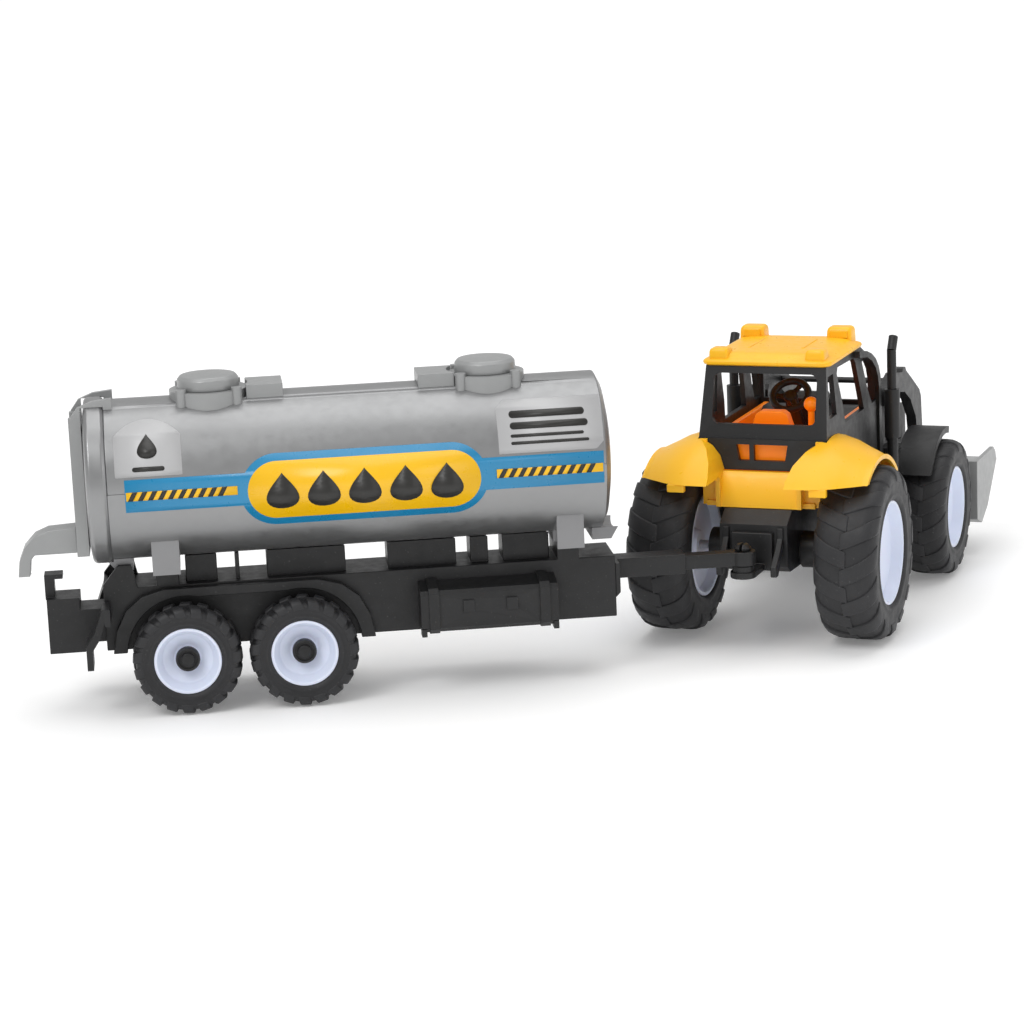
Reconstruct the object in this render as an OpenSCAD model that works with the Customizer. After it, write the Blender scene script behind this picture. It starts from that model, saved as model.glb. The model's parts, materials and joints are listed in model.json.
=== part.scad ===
// Toy farm tractor with a front loader, towing a twin-axle liquid tanker trailer.
// Row frame: +X along the trailer towards its hitch, +Y to the trailer's left, +Z up.
// The origin is on the ground, under the middle of the whole rig at rest.

/* [Rig] */
// Angle between the tractor's heading and the trailer's centre-line
tractor_yaw = 62.5; // [-65:0.5:65]
// Distance from the trailer's datum to the hitch pin
hitch_x = 97.5; // [90:0.5:105]
// Distance from the hitch pin to the tractor's rear axle
hitch_setback = 42; // [38:0.5:48]

/* [Tank] */
// Outer radius of the tank barrel
tank_r = 33; // [28:0.5:38]
// Height of the barrel's centre-line, where the two shells meet
tank_z = 94.3; // [88:0.1:100]
// Wall thickness of the moulded shells
tank_wall = 2; // [1.5:0.1:3]
// Rear end of the barrel
tank_x0 = -166; // [-180:1:-150]
// Front end of the barrel
tank_x1 = 36; // [25:1:45]

/* [Trailer] */
// Tyre radius of the trailer's wheels
t_tyre_r = 22.5; // [20:0.5:25]
// Rim radius of the trailer's wheels
t_rim_r = 13.8; // [12:0.1:16]
// Outer face of the trailer's tyres, from the centre-line
t_tyre_out = 30; // [26:0.5:34]
// Tyre width of the trailer's wheels
t_tyre_w = 15; // [12:0.5:16]
// Rear axle's place along the trailer
t_axle_rear = -138.3; // [-145:0.1:-130]
// Spacing of the two trailer axles
t_axle_step = 47.7; // [46.5:0.1:52]
// Half-width of the trailer's chassis beam
beam_hw = 13; // [11:0.5:14]

/* [Tractor] */
// Rear tyre radius
rear_tyre_r = 38; // [35:0.5:40]
// Front tyre radius
front_tyre_r = 31.8; // [29:0.1:34]
// Rear rim radius
rear_rim_r = 22.6; // [20:0.1:25]
// Front rim radius
front_rim_r = 19; // [17:0.1:21]
// Outer face of the rear tyres, from the centre-line
tyre_out = 55.4; // [52:0.1:57]
// Outer face of the front tyres, from the centre-line
front_tyre_out = 56; // [52:0.1:58]
// Rear tyre width
rear_tyre_w = 27.4; // [22:0.5:28]
// Front tyre width
front_tyre_w = 22.5; // [20:0.5:23]
// Wheelbase
wheelbase = 121; // [118:0.5:124]
// Height of the roof's lower edge
roof_z = 118.4; // [112:0.5:122]

/* [Loader] */
// Height of the loader arms' pivot
arm_pivot_z = 90; // [84:0.5:94]
// Place of the loader arms' pivot ahead of the rear axle
arm_pivot_x = 88; // [86:0.5:92]
// Place of the bucket's pivot ahead of the rear axle
bucket_pivot_x = 151; // [150:0.5:153]
// Height of the bucket's pivot
bucket_pivot_z = 28; // [25:0.5:32]
// Half-width of the bucket
bucket_hw = 57; // [50:0.5:60]

/* [Hidden] */
$fn = 96;
fit = 0.06;               // radial running clearance
axle_r = 1.5;             // trailer axle rods
t_axle_front = t_axle_rear + t_axle_step;
axle2_r = 2;              // tractor axle rods
pin_r = 2;                // loader pivot pins
hitch_pin_r = 2.5;
beam_top = 51;            // top of the trailer's chassis beam
beam_bottom = 25;
beam_x0 = -171;
beam_x1 = 41;
fender_out = 17;          // outer edge of the trailer's wheel arches
box_out = 26;             // outer face of the trailer's lockers
hatch_xs = [-123, -8.8];
hatch_pad_dx = [22.7, -21.2];
foot_xs = [-144.5, 21.3];
foot_hw = 5.6;
black = [0.17, 0.17, 0.18];
silver = [0.68, 0.69, 0.70];
light_grey = [0.72, 0.73, 0.73];
yellow = [1.0, 0.72, 0.13];
orange = [1.0, 0.45, 0.08];
lilac = [0.84, 0.86, 0.94];
blue = [0.14, 0.57, 0.80];
steel = [0.75, 0.76, 0.78];
stack_x = 72.5;           // exhaust stacks
stack_y = 37;
column_lean = 42;         // steering column leans back towards the seat
wheel_c = [36.5, 0, 98.5];
origin_x = 27.53;         // half way between the spout's tip and the bucket's corner
origin_y = 103.83;        // half way between the trailer's side and the bucket's corner

// ---------- placement and shared shapes ----------

module on_trailer() {
  translate([-origin_x, -origin_y, 0]) children();
}

module on_tractor() {
  translate([hitch_x - origin_x, -origin_y, 0])
    rotate([0, 0, tractor_yaw])
      translate([hitch_setback, 0, 0]) children();
}

module both_sides() {
  children();
  mirror([0, 1, 0]) children();
}

// Extrudes an outline drawn in X and Z between two Y planes.
module side_plate(y0, y1) {
  translate([0, y1, 0]) rotate([90, 0, 0]) linear_extrude(height = y1 - y0) children();
}

// Extrudes an outline drawn in Y and Z between two X planes.
module cross_plate(x0, x1) {
  translate([x0, 0, 0]) rotate([90, 0, 90]) linear_extrude(height = x1 - x0) children();
}

module box(x, y, z) {
  translate([x[0], y[0], z[0]]) cube([x[1] - x[0], y[1] - y[0], z[1] - z[0]]);
}

module rod_y(x, z, r, y0, y1) {
  translate([x, y1, z]) rotate([90, 0, 0]) cylinder(r = r, h = y1 - y0);
}

module rod_x(y, z, r, x0, x1) {
  translate([x0, y, z]) rotate([0, 90, 0]) cylinder(r = r, h = x1 - x0);
}

module rounded(w, h, r) {
  for (sx = [-1, 1]) {
    translate([sx * (w / 2 - r), h / 2 - r]) circle(r = r);
    translate([sx * (w / 2 - r), -h / 2 + r]) circle(r = r);
  }
  square([w, h - 2 * r], center = true);
  square([w - 2 * r, h], center = true);
}

// Turned body about the Y axis, from a profile of radius and width.
module turned_y(x, z) {
  translate([x, 0, z]) rotate([-90, 0, 0]) rotate_extrude() children();
}

// A tyre with shoulder blocks; the profile runs from the inner to the outer face.
module block_tyre(r, rim, y0, y1, count) {
  w = y1 - y0;
  lug = 1.6;
  block = r * 3.8 / count;
  turned_y(0, 0)
    polygon([[rim, y0 + 1.2], [rim + 1, y0 + 0.5], [r - 4, y0], [r - lug, y0 + 2],
      [r - lug, y1 - 2], [r - 4, y1], [rim + 1, y1 - 0.5], [rim, y1 - 1.2]]);
  intersection() {
    turned_y(0, 0)
      polygon([[r - 3.5, y0 + 0.3], [r - 0.8, y0 + 0.9], [r, y0 + 2.2], [r, y1 - 2.2],
        [r - 0.8, y1 - 0.9], [r - 3.5, y1 - 0.3]]);
    for (i = [0 : count - 1], side = [0, 1])
      rotate([0, (i + side * 0.5) * 360 / count - 88, 0])
        box([r - 3, r + 2], side == 0 ? [y0 - 1, y0 + w * 0.53] : [y0 + w * 0.47, y1 + 1],
          [-block / 2, block / 2]);
  }
}

// A farm tyre with slanted bars that meet near its middle.
module bar_tyre(r, rim, y0, y1, count) {
  w = y1 - y0;
  lug = 2.6;
  bar = 3.4;
  turned_y(0, 0)
    polygon([[rim, y0 + 1.5], [rim + 1.5, y0 + 0.6], [r - 6, y0], [r - lug, y0 + 2.5],
      [r - lug, y1 - 2.5], [r - 6, y1], [rim + 1.5, y1 - 0.6], [rim, y1 - 1.5]]);
  intersection() {
    turned_y(0, 0)
      polygon([[r - 5, y0 + 0.2], [r - 1.2, y0 + 1.2], [r, y0 + 4], [r, y1 - 4],
        [r - 1.2, y1 - 1.2], [r - 5, y1 - 0.2]]);
    for (i = [0 : count - 1], side = [-1, 1])
      rotate([0, (i + (side > 0 ? 0.5 : 0)) * 360 / count - 90, 0])
        translate([r - 3, (y0 + y1) / 2, 0])
          rotate([side * 32, 0, 0])
            box([-2, 6], side > 0 ? [-1.5, w * 0.66] : [-w * 0.66, 1.5], [-bar / 2, bar / 2]);
  }
}

// A dished rim with a hub that grips its axle.
module dished_rim(r, y0, y1, hub_r, bore) {
  turned_y(0, 0)
    polygon([[bore, y0 + 3], [hub_r, y0 + 3], [hub_r + 1, y0 + 6], [r - 3, y0 + 4],
      [r - 1.6, y0], [r, y0], [r, y1], [r - 1.2, y1], [r - 3.4, y1 - 5], [hub_r + 2, y1 - 7],
      [hub_r, y1 - 6], [bore, y1 - 6]]);
}

// ---------- tank ----------

module tank_half(sign) {
  intersection() {
    difference() {
      rod_x(0, tank_z, tank_r, tank_x0, tank_x1);
      rod_x(0, tank_z, tank_r - tank_wall, tank_x0 - 1, tank_x1 + 1);
    }
    box([tank_x0, tank_x1], [-40, 40], sign > 0 ? [tank_z, tank_z + 40] : [tank_z - 40, tank_z]);
  }
}

module tank_upper_shell() {
  color(silver) on_trailer() difference() {
    tank_half(1);
    for (x = hatch_xs) translate([x, 0, tank_z]) cylinder(r = 9, h = 40);
  }
}

module tank_lower_shell() {
  color(silver) on_trailer() difference() {
    union() {
      tank_half(-1);
      for (x = foot_xs, y = [-7, 7])
        translate([x, y, tank_z - tank_r + 1.5]) cylinder(r = 3.2, h = 11);
    }
    for (x = foot_xs, y = [-7, 7])
      translate([x, y, tank_z - tank_r - 1]) cylinder(r = 1.12, h = 12);
  }
}

module tank_rear_cap() {
  color(silver) on_trailer() translate([tank_x0, 0, tank_z]) rotate([0, -90, 0])
    rotate_extrude() polygon([[0, 6], [0, 9.2], [12, 9.1], [22, 8.9], [29, 8.6], [33.2, 8],
      [34.2, 6.8], [34.2, 1.4], [33, 0], [29, 0], [29, 4], [20, 5.4]]);
}

module tank_front_cap() {
  color(silver) on_trailer() translate([tank_x1, 0, tank_z]) rotate([0, 90, 0])
    rotate_extrude() polygon([[0, 1.6], [0, 4.6], [12, 4.3], [22, 3.4], [29, 2], [33, 0],
      [20, 0]]);
}

// Grey cradles between the tank and the chassis, with flat feet at both sides.
module tank_cradles() {
  color([0.60, 0.60, 0.62]) on_trailer() difference() {
    union() {
      for (x = foot_xs) box([x - foot_hw, x + foot_hw], [-24.5, 24.5], [58, 72.5]);
      side_plate(-11, 11) polygon([[-169, 63], [-158, 63], [-158, 58], [-165, 58]]);
      side_plate(-11, 11) polygon([[32, 58], [32, 63], [43, 63], [40, 58]]);
    }
    rod_x(0, tank_z, tank_r, tank_x0 - 12, tank_x1 + 12);
    rod_x(0, tank_z, tank_r + 1.25, tank_x0 - 12, tank_x0 + 0.02);
    for (x = foot_xs) {
      for (y = [-7, 7]) translate([x, y, 50]) cylinder(r = 1.3, h = 20);
      cradle_hollow(x);
    }
  }
}

module cradle_hollow(x) {
  both_sides() box([x - foot_hw - 1, x + foot_hw + 1], [10.5, 21.5], [50, 66]);
}

module hatch_bases() {
  color(light_grey) on_trailer() for (x = hatch_xs) difference() {
    union() {
      translate([x, 0, tank_z + 27]) cylinder(r = 16, h = 8.7);
      for (a = [45 : 90 : 315]) rotate_about(x, a)
        translate([x + 16, 0, tank_z + 30]) cylinder(r = 2.2, h = 7.2);
    }
    rod_x(0, tank_z, tank_r, x - 30, x + 30);
    translate([x, 0, tank_z + 33]) cylinder(r = 10.4, h = 5);
  }
}

module rotate_about(x, a) {
  translate([x, 0, 0]) rotate([0, 0, a]) translate([-x, 0, 0]) children();
}

module hatch_lids() {
  color(light_grey) on_trailer() for (x = hatch_xs) translate([x, 0, tank_z + 35.7])
    rotate_extrude() polygon([[0, -1.8], [10.2, -1.8], [10.2, 0], [12.5, 0], [12.7, 0.6],
      [12.5, 4.2], [11.3, 5.6], [6, 6.3], [0, 6.4]]);
}

module walkway_pads() {
  color(light_grey) on_trailer() for (i = [0, 1]) difference() {
    union() {
      pad_x = hatch_xs[i] + hatch_pad_dx[i];
      box([pad_x - 7.5, pad_x + 7.5], [-9.5, 9.5], [tank_z + 30, tank_z + 37.4]);
      box(i == 0 ? [hatch_xs[0] + 15.2, pad_x] : [pad_x, hatch_xs[1] - 15.2], [-5, 5],
        [tank_z + 30, tank_z + 35.4]);
    }
    rod_x(0, tank_z, tank_r, -200, 60);
    translate([hatch_xs[i], 0, tank_z + 20]) cylinder(r = 16.05, h = 30);
    for (a = [45 : 90 : 315]) rotate_about(hatch_xs[i], a)
      translate([hatch_xs[i] + 16, 0, tank_z + 28]) cylinder(r = 2.3, h = 12);
  }
}

// Rear ladder: a slotted panel with two rails that bend over the top of the tank.
module ladder() {
  color(light_grey) on_trailer() {
    difference() {
      box([-180.4, -175.4], [-9, 9], [65, 122]);
      for (z = [70 : 12 : 106]) box([-182, -174], [-6, 6], [z, z + 8.4]);
      box([-182, -174], [-6, 6], [118, 130]);
    }
    difference() {
      both_sides() side_plate(9, 11.6) polygon([[-180.4, 65], [-175.4, 65], [-175.4, 118.6],
        [-173.8, 123], [-170, 125.6], [-162.4, 125], [-162.4, 129.8], [-170.4, 129],
        [-176.4, 126.6], [-179.8, 122]]);
      rod_x(0, tank_z, tank_r + 1.25, tank_x0 - 9.3, tank_x0 + 0.02);
      rod_x(0, tank_z, tank_r + 0.04, tank_x0 - 1, -150);
    }
  }
}

// Elbow outlet with a flange, aimed down behind the tank.
module outlet_spout() {
  color(light_grey) on_trailer() {
    difference() {
      side_plate(-5.5, 5.5) polygon([[-180.4, 76], [-180.4, 65.4], [-198, 65.4], [-199.6, 63.5],
        [-200.4, 56.6], [-205.2, 56.6], [-204.4, 63], [-202, 68.5], [-197.5, 73.2],
        [-192, 75.4]]);
      translate([-202, 0, 56]) cylinder(r = 1.5, h = 8);
    }
  }
}

// A strip of foil wrapped on the barrel, between two heights.
module foil(x0, x1, z0, z1, thick, lift) {
  intersection() {
    difference() {
      rod_x(0, tank_z, tank_r + lift + thick, x0, x1);
      rod_x(0, tank_z, tank_r + lift, x0 - 1, x1 + 1);
    }
    children();
  }
}

module pill_outline(z_half) {
  translate([-62.7, tank_z - 2.3]) rounded(100.5, 2 * z_half, z_half - 0.01);
}

module side_labels() {
  color(blue) on_trailer() both_sides() foil(-159, 35, 0, 0, 0.12, 0)
    side_plate(5, 40) union() {
      translate([-159, tank_z - 7.8]) square([194, 13.4]);
      pill_outline(14.9);
    }
}

module label_panels() {
  color([1, 0.84, 0.08]) on_trailer() both_sides() foil(-112, -14, 0, 0, 0.12, 0.12)
    side_plate(5, 40) translate([-62.7, tank_z - 2.3]) rounded(94.4, 23.8, 11.8);
}

module plate_labels() {
  color([0.82, 0.83, 0.84]) on_trailer() both_sides() foil(-165, 36, 0, 0, 0.12, 0)
    side_plate(5, 40) union() {
      translate([-7.6, tank_z + 6.6]) polygon([[0, 0], [0, 17], [3.6, 20], [43, 20], [43, 3],
        [40, 0]]);
      intersection() {
        translate([-149, tank_z + 8.5]) circle(r = 19);
        translate([-162.5, tank_z + 6.6]) square([27, 21.6]);
      }
    }
}

// Screws that hold the tank down on its chassis.
module tank_screws() {
  color(steel) on_trailer() for (x = foot_xs, y = [-7, 7]) {
    translate([x, y, 48.4]) cylinder(r = 1.1, h = 23.8);
    translate([x, y, 46.6]) cylinder(r = 2.4, h = 1.8);
  }
}

// ---------- trailer frame ----------

module trailer_chassis() {
  color(black) on_trailer() difference() {
    union() {
      beam_walls();
      beam_ribs();
      deck_risers();
      both_sides() axle_bosses();
    }
    for (x = [t_axle_rear, t_axle_front]) rod_y(x, t_tyre_r, axle_r + fit, -20, 20);
    for (x = foot_xs, y = [-7, 7]) translate([x, y, 40]) cylinder(r = 1.3, h = 30);
    rod_x(0, tank_z, tank_r + 0.3, -200, 60);
  }
}

module beam_walls() {
  box([beam_x0 + 6, beam_x1], [-beam_hw, beam_hw], [beam_top - 2, beam_top]);
  both_sides() side_plate(beam_hw - 2, beam_hw)
    polygon([[beam_x0, beam_bottom], [beam_x1, beam_bottom], [beam_x1, beam_top],
      [-157, beam_top], [-159, 60.5], [-164.5, 60.5], [beam_x0, 52.5]]);
  box([beam_x0, beam_x0 + 2], [-beam_hw, beam_hw], [beam_bottom, 52]);
  box([beam_x1 - 2, beam_x1], [-beam_hw, beam_hw], [beam_bottom, beam_top]);
}

module beam_ribs() {
  for (x = [-154, -114.5, -78, -52, -26, 0])
    box([x - 0.8, x + 0.8], [-beam_hw, beam_hw], [beam_bottom + 2, beam_top]);
  for (x = foot_xs, y = [-7, 7]) translate([x, y, 48.4]) cylinder(r = 3.4, h = 9.6);
}

// Risers that carry the grey cradles and fill parts of the gap under the tank.
module deck_risers() {
  for (x = foot_xs) box([x - 4.6, x + 4.6], [-beam_hw, beam_hw], [beam_top - 1, 58]);
  for (x = [[-137, -124], [-103.5, -71], [-53.5, -25], [-19, -11.5], [-5.5, 14]])
    box(x, [-8, 8], [beam_top - 1, 66]);
  box([-116.5, -114.8], [-8, 8], [beam_top - 1, 66]);
}

module axle_bosses() {
  for (x = [t_axle_rear, t_axle_front])
    side_plate(beam_hw - 5, beam_hw) union() {
      translate([x, t_tyre_r]) circle(r = 4.6);
      translate([x - 4.6, t_tyre_r]) square([9.2, 12]);
    }
}

// One side's double wheel arch with its outer lip.
module mudguard() {
  difference() {
    side_plate(beam_hw, fender_out) polygon([[-168.4, 24.4], [-166.6, 34], [-162.4, 42],
      [-155.4, 47.6], [-146, 50.2], [-83, 50.2], [-73.4, 47.6], [-66.4, 42], [-62.2, 34],
      [-60.4, 24.4]]);
    side_plate(0, 40) union() {
      translate([t_axle_rear, t_tyre_r]) circle(r = 24.4);
      translate([t_axle_front, t_tyre_r]) circle(r = 24.4);
      translate([t_axle_rear, t_tyre_r]) square([t_axle_step, 23.8]);
      translate([t_axle_rear - 24.4, 0]) square([t_axle_step + 48.8, t_tyre_r]);
    }
  }
}

module mudguard_left() {
  color(black) on_trailer() mudguard();
}

module mudguard_right() {
  color(black) on_trailer() mirror([0, 1, 0]) mudguard();
}

// Side locker with straps, latches and small feet.
module tool_box() {
  cross_plate(-42, 15) polygon([[beam_hw, 26.4], [24, 26.4], [box_out, 28.4], [box_out, 42.4],
    [box_out - 1.4, 44], [beam_hw, 45.8]]);
  for (x = [-38.6, 7.4])
    cross_plate(x, x + 4.2) polygon([[beam_hw, 25.8], [24.4, 25.8], [box_out + 0.9, 28],
      [box_out + 0.9, 43], [box_out - 1, 45.1], [beam_hw, 47]]);
  for (x = [-24.5, -6.5]) box([x, x + 4.6], [box_out - 1, box_out + 0.9], [34.6, 39.6]);
  for (x = [-42, 12.8]) box([x, x + 2.2], [20, box_out], [24.8, 28]);
}

module tool_box_left() {
  color(black) on_trailer() tool_box();
}

module tool_box_right() {
  color(black) on_trailer() mirror([0, 1, 0]) tool_box();
}

module mud_flaps() {
  color(black) on_trailer() both_sides() {
    side_plate(15.5, 28.5) polygon([[-171.6, 46], [-169, 46], [-173, 34], [-176.4, 29],
      [-176.4, 21], [-179, 21], [-179, 31], [-175.4, 36]]);
    box([-170.9, -168.4], [beam_hw, 28.5], [39, 46]);
  }
}

// Tow hook at the back: an upright with a forward lip over a pocket.
module tow_hook() {
  color(black) on_trailer() {
    difference() {
      union() {
        side_plate(-8.5, 8.5) polygon([[beam_x0, 28], [beam_x0, 42], [-181, 42], [-181, 47],
          [-194.5, 47], [-194.5, 24], [-180, 24], [-177, 28]]);
        side_plate(-4.2, 4.2) polygon([[-195, 46], [-191, 46], [-191, 54.6], [-187.4, 54.6],
          [-187.4, 56.5], [-195, 56.5]]);
      }
      box([-192.5, -183], [-6.2, 6.2], [20, 44.6]);
    }
    box([-192.5, -183], [-0.9, 0.9], [24, 44.6]);
  }
}

module drawbar() {
  color(black) on_trailer() difference() {
    union() {
      box([beam_x1, 72], [-5.2, 5.2], [39.2, 47.6]);
      box([72, hitch_x - 4], [-3.4, 3.4], [40.4, 46.4]);
      translate([hitch_x, 0, 40.4]) cylinder(r = 5.4, h = 6);
      side_plate(-13, 13) polygon([[beam_x1, 33], [beam_x1, 47.6], [beam_x1 + 2, 47.6],
        [beam_x1 + 2, 35]]);
    }
    translate([hitch_x, 0, 30]) cylinder(r = hitch_pin_r + fit, h = 30);
  }
}

// ---------- trailer wheels ----------

module trailer_axle(x) {
  color(steel) on_trailer() rod_y(x, t_tyre_r, axle_r, -23.2, 23.2);
}

module trailer_tyres(x) {
  color(black) on_trailer() translate([x, 0, t_tyre_r]) both_sides()
    block_tyre(t_tyre_r, t_rim_r, t_tyre_out - t_tyre_w, t_tyre_out, 18);
}

module trailer_rims(x) {
  color(lilac) on_trailer() translate([x, 0, t_tyre_r]) both_sides()
    dished_rim(t_rim_r, t_tyre_out - t_tyre_w + 0.5, t_tyre_out - 0.8, 3.6, axle_r);
}

module trailer_caps(x) {
  color(black) on_trailer() both_sides() translate([x, 23.2, t_tyre_r]) rotate([-90, 0, 0])
    rotate_extrude() polygon([[0, 0], [5, 0], [5, 3.4], [4.2, 4.2], [0, 4.2]]);
}

module trailer_rear_axle() {
  trailer_axle(t_axle_rear);
}

module trailer_rear_tyres() {
  trailer_tyres(t_axle_rear);
}

module trailer_rear_rims() {
  trailer_rims(t_axle_rear);
}

module trailer_rear_caps() {
  trailer_caps(t_axle_rear);
}

module trailer_front_axle() {
  trailer_axle(t_axle_front);
}

module trailer_front_tyres() {
  trailer_tyres(t_axle_front);
}

module trailer_front_rims() {
  trailer_rims(t_axle_front);
}

module trailer_front_caps() {
  trailer_caps(t_axle_front);
}

// ---------- tractor body ----------

module tractor_chassis() {
  color(black) on_tractor() difference() {
    union() {
      side_plate(-15, 15) polygon([[-26, 36], [-22, 33], [60, 30], [70, 26], [140, 26],
        [140, 55], [76, 55], [72, 59], [-18, 59], [-26, 54]]);
      both_sides() {
        rod_y(0, rear_tyre_r, 8, 15, 26);
        rod_y(wheelbase, front_tyre_r, 5.6, 15, 29);
      }
    }
    rod_y(0, rear_tyre_r, axle2_r + fit, -40, 40);
    rod_y(wheelbase, front_tyre_r, axle2_r + fit, -40, 40);
  }
}

module hitch_plate() {
  color(black) on_tractor() union() {
    box([-hitch_setback, -26], [-5.5, 5.5], [34.8, 37.6]);
    translate([-hitch_setback, 0, 34.8]) cylinder(r = 5.5, h = 2.8);
    box([-29, -26], [-9, 9], [34.8, 51]);
  }
}

// Upright pin with a split head that snaps through the drawbar's eye.
module hitch_pin() {
  color(black) on_tractor() translate([-hitch_setback, 0, 0]) difference() {
    union() {
      translate([0, 0, 37.6]) cylinder(r = hitch_pin_r, h = 9.4);
      translate([0, 0, 37.6]) cylinder(r = 4.6, h = 2.4);
      translate([0, 0, 46.9]) rotate_extrude() polygon([[0, 0], [3.5, 0], [3.7, 0.8], [2.4, 2.4],
        [0, 2.4]]);
    }
    translate([-5, -0.6, 42]) cube([10, 1.2, 10]);
  }
}

// Lower link struts at both sides of the hitch.
module linkage_struts() {
  color(black) on_tractor() both_sides()
    side_plate(10.6, 13.4) polygon([[-26, 53], [-27.2, 53], [-27.2, 48.4], [-31, 44],
      [-38, 38.4], [-38, 34], [-34.6, 34], [-31, 39], [-26, 43.4]]);
}

// Yellow rear body: two wheel-arch shells joined by a low rear apron and a floor.
module rear_body() {
  color(yellow) on_tractor() {
    both_sides() wheel_arch();
    side_plate(-17, 17) polygon([[-17, 59.2], [-14.6, 59.2], [-12, 69.6], [-10.6, 72.6],
      [-10.6, 74.2], [-12.6, 74.2], [-14.6, 71.6]]);
    box([-14, 76], [-24.2, 24.2], [59, 61.2]);
  }
}

// Domed shell over a rear wheel, with an inner wall that meets the cab.
module wheel_arch() {
  difference() {
    arch_solid(0);
    arch_solid(2);
    box([-80, 0], [0, 60], [-30, 59.2]);
    box([-80, -20], [19, 60], [-30, 72.4]);
    box([-80, -17.4], [0, 60], [-30, 72.4]);
    box([-10.5, 30], [0, 28.75], [80.4, 100]);
    box([-20, 0], [26.2, 60], [-30, 72.4]);
    box([-0.1, 80], [26.2, 60], [-30, 68]);
    box([-0.1, 80], [0, 60], [-30, 59.2]);
    box([13.6, 80], [0, 28.75], [0, 120]);
    box([29, 80], [0, 60], [0, 120]);
  }
}

// The arch's outer form, or its hollow when the wall thickness t is taken off.
module arch_solid(t) {
  intersection() {
    turned_y(0, rear_tyre_r) polygon([[0, 17 + t], [51 - t, 17 + t], [50.9 - t, 27],
      [50.2 - t, 31], [48.4 - t, 36.5], [45.6 - t, 42], [44 - t, 45.4], [42.4 - t, 48.6],
      [42.4 - t, 50], [0, 50]]);
    union() {
      cross_plate(-60, -10.6 - t) polygon([[17 + t, 40], [17 + t, 75], [18.6 + t, 80.6 - t],
        [22, 85 - t], [26.4, 87.6 - t], [31, 88.9 - t], [60, 96], [60, 40]]);
      box([-11.6 - t, 60], [24.2 + t, 60], [40, 100]);
    }
  }
}

module tail_lamps() {
  color(yellow) on_tractor() both_sides() box([-36.4, -33.4], [27.4, 35], [69, 72.4]);
}

module interior_tub() {
  color(orange) on_tractor() {
    difference() {
      box([-6.4, 76.4], [-24, 24], [61.2, 88]);
      box([-4.6, 74.4], [-21.6, 21.6], [64, 92]);
      box([50, 80], [-21.6, 21.6], [84, 92]);
    }
    translate([11, -16.4, 64]) cylinder(r = 1.4, h = 34);
    translate([11, -16.4, 100]) sphere(r = 3.2);
  }
}

module seat() {
  color(orange) on_tractor() {
    side_plate(-9, 9) polygon([[4, 64], [26, 64], [27, 75], [25, 77.6], [14, 77], [4, 77]]);
    cross_plate(5, 11) polygon([[-9, 77], [9, 77], [9, 90], [7, 96], [5, 97.4], [-5, 97.4],
      [-7, 96], [-9, 90]]);
  }
}

module dashboard() {
  color(black) on_tractor() dash_block();
}

module dash_block() {
  side_plate(-21.6, 21.6) polygon([[60, 64], [74.4, 64], [74.4, 88], [66, 88], [60, 85],
    [58, 78]]);
  side_plate(-9, 9) polygon([[60, 84], [72, 84], [72, 92], [67, 95.4], [62.6, 95.8],
    [59.6, 93]]);
}

module on_column() {
  on_tractor() translate(wheel_c) rotate([0, -column_lean, 0]) children();
}

module steering_column() {
  color(black) difference() {
    on_column() difference() {
      translate([0, 0, -34]) cylinder(r = 2.6, h = 32.8);
      translate([0, 0, -9]) cylinder(r = 1.2 + fit, h = 9);
    }
    on_tractor() dash_block();
  }
}

module steering_wheel() {
  color(black) on_column() {
    rotate_extrude() translate([7.8, 0.6]) circle(r = 1.3);
    translate([0, 0, -0.8]) cylinder(r = 2.8, h = 1.9);
    translate([0, 0, -6]) cylinder(r = 1.2, h = 6);
    for (a = [90, 210, 330]) rotate([0, 0, a]) translate([0, -0.9, -0.2]) cube([7.8, 1.8, 1.2]);
  }
}

// ---------- cab ----------

// The cab's form down to its sills, with the front pillars curving forward to the bonnet;
// t is taken off every outer face to give the hollow inside.
module cab_solid(t) {
  intersection() {
    side_plate(-30, 30) polygon([[-9.5 + t, 86 - t], [-1.6 + t, roof_z + t], [55 - t, roof_z + t],
      [66 - t, 113.4 - t], [73 - t, 110 - t], [77.6 - t, 105.6 - t], [79.6 - t, 100],
      [79.6 - t, 86 - t]]);
    cross_plate(-20, 90) polygon([[-28.7 + t, 86 - t], [-26.8 + t, roof_z + t],
      [26.8 - t, roof_z + t], [28.7 - t, 86 - t]]);
  }
}

module cab_frame() {
  color(black) on_tractor() {
    difference() {
      union() {
        cab_solid(0);
        cross_plate(-10.4, -8) polygon([[-28.4, 88], [28.4, 88], [27, 84.6], [19, 80.6],
          [17, 74.4], [-17, 74.4], [-19, 80.6], [-27, 84.6]]);
        box([77, 79.6], [-26.6, 26.6], [56, 90]);
        both_sides() side_plate(26.4, 28.6) polygon([[31, 61.2], [79.6, 61.2], [79.6, 88],
          [14, 88], [27, 79]]);
      }
      cab_solid(2.2);
      cab_windows();
    }
    both_sides() side_plate(27, 29.8) polygon([[44, 117.6], [57, 115.8], [65.6, 113.2],
      [72.6, 109.8], [77.6, 105.6], [80.6, 100.8], [81.6, 96], [81.6, 62], [77.6, 62],
      [77.6, 96], [76, 101], [72.4, 105.6], [65.6, 110], [57, 113], [44, 114.8]]);
  }
}

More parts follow.
